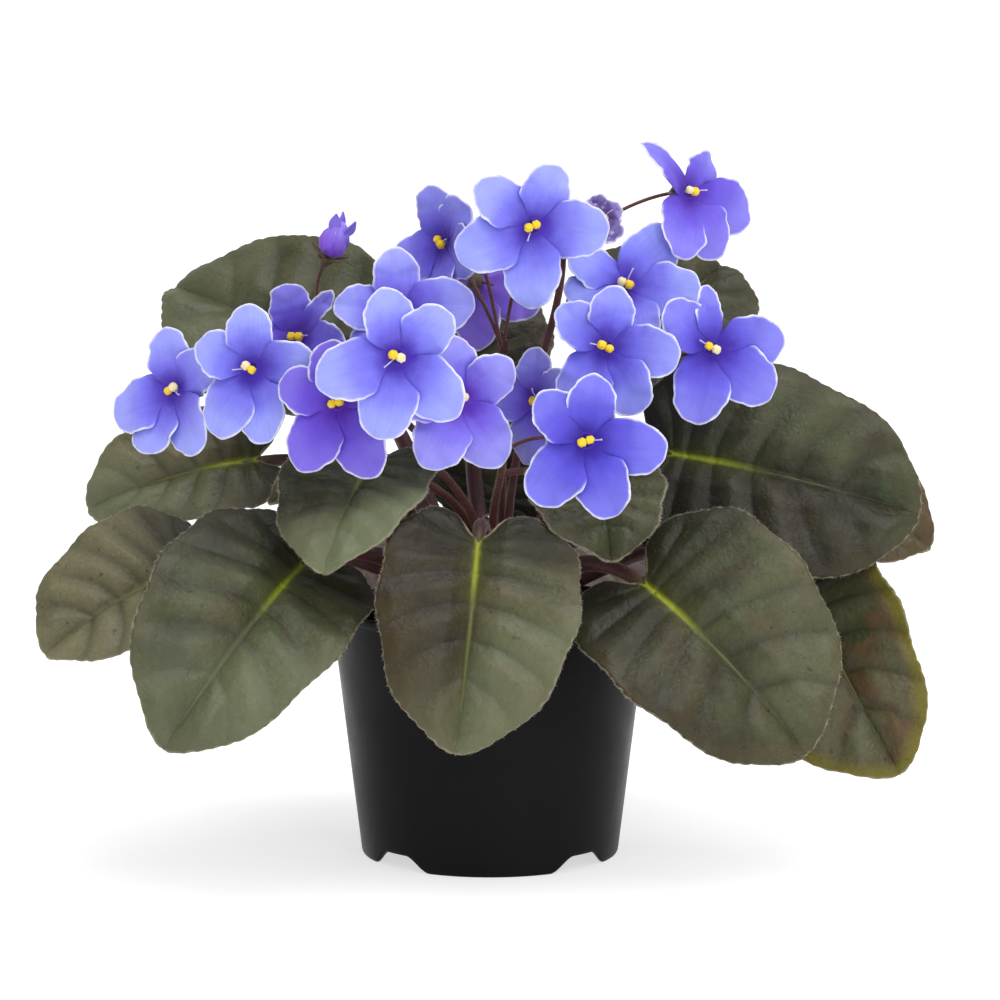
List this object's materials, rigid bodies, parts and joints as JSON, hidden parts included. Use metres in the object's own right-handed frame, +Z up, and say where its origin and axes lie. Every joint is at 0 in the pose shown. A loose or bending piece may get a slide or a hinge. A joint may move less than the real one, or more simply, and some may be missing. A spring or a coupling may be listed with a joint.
{
  "type": "potted african violet",
  "caption": "African violet in a black nursery pot: a rosette of dark hairy leaves under loose sprays of blue violet blooms, for standing on a flat surface.",
  "frame": {"origin": "middle of the whole plant's box in X and Y, at the height of the surface that the pot's feet stand on; it is also on the pot's axis", "axes": "+Z up; +X to the right and -Y towards a viewer who faces the plant's front; the leaves span furthest along X"},
  "size_m": [0.2852, 0.1893, 0.2283],
  "materials": {
    "pot_plastic": "smooth satin black",
    "potting_mix": "loose dark brown peat mix with pale grains",
    "leaves": "satin, hairy, dark olive green, quilted between the veins",
    "flower_stalks": "matt, hairy, reddish brown",
    "petals": "matt, blue violet with white fringed edges",
    "bud": "matt, deep purple",
    "wilted_petals": "dry, crumpled, greyish lilac",
    "anthers": "powdery bright yellow"
  },
  "bodies": {
    "root": {"bloom_01": "petals", "bloom_01_anthers": "anthers", "bloom_02": "petals", "bloom_02_anthers": "anthers", "bloom_03": "petals", "bloom_03_anthers": "anthers", "bloom_04": "petals", "bloom_04_anthers": "anthers", "bloom_05": "petals", "bloom_05_anthers": "anthers", "bloom_06": "petals", "bloom_06_anthers": "anthers", "bloom_07": "petals", "bloom_07_anthers": "anthers", "bloom_08": "petals", "bloom_08_anthers": "anthers", "bloom_09": "petals", "bloom_09_anthers": "anthers", "bloom_10": "petals", "bloom_10_anthers": "anthers", "bloom_11": "petals", "bloom_11_anthers": "anthers", "bloom_12": "petals", "bloom_12_anthers": "anthers", "bloom_13": "petals", "bloom_13_anthers": "anthers", "bloom_14": "petals", "bloom_14_anthers": "anthers", "bloom_15": "petals", "bloom_15_anthers": "anthers", "bloom_16": "petals", "bloom_16_anthers": "anthers", "bloom_wilted": "wilted_petals", "bloom_wilted_anthers": "anthers", "bud_purple": "bud", "crown": "leaves", "leaf_back_left": "leaves", "leaf_back_right": "leaves", "leaf_far_left": "leaves", "leaf_far_right": "leaves", "leaf_front": "leaves", "leaf_front_left": "leaves", "leaf_front_right": "leaves", "leaf_inner_left": "leaves", "leaf_inner_right": "leaves", "leaf_left": "leaves", "leaf_low_left": "leaves", "leaf_rear": "leaves", "leaf_rear_left": "leaves", "leaf_rear_low": "leaves", "leaf_rear_right": "leaves", "leaf_right": "leaves", "leaf_right_rear": "leaves", "pot": "pot_plastic", "potting_mix": "potting_mix", "stalk_front": "flower_stalks", "stalk_front_left": "flower_stalks", "stalk_left": "flower_stalks", "stalk_rear": "flower_stalks", "stalk_right": "flower_stalks"}
  },
  "joints": []
}
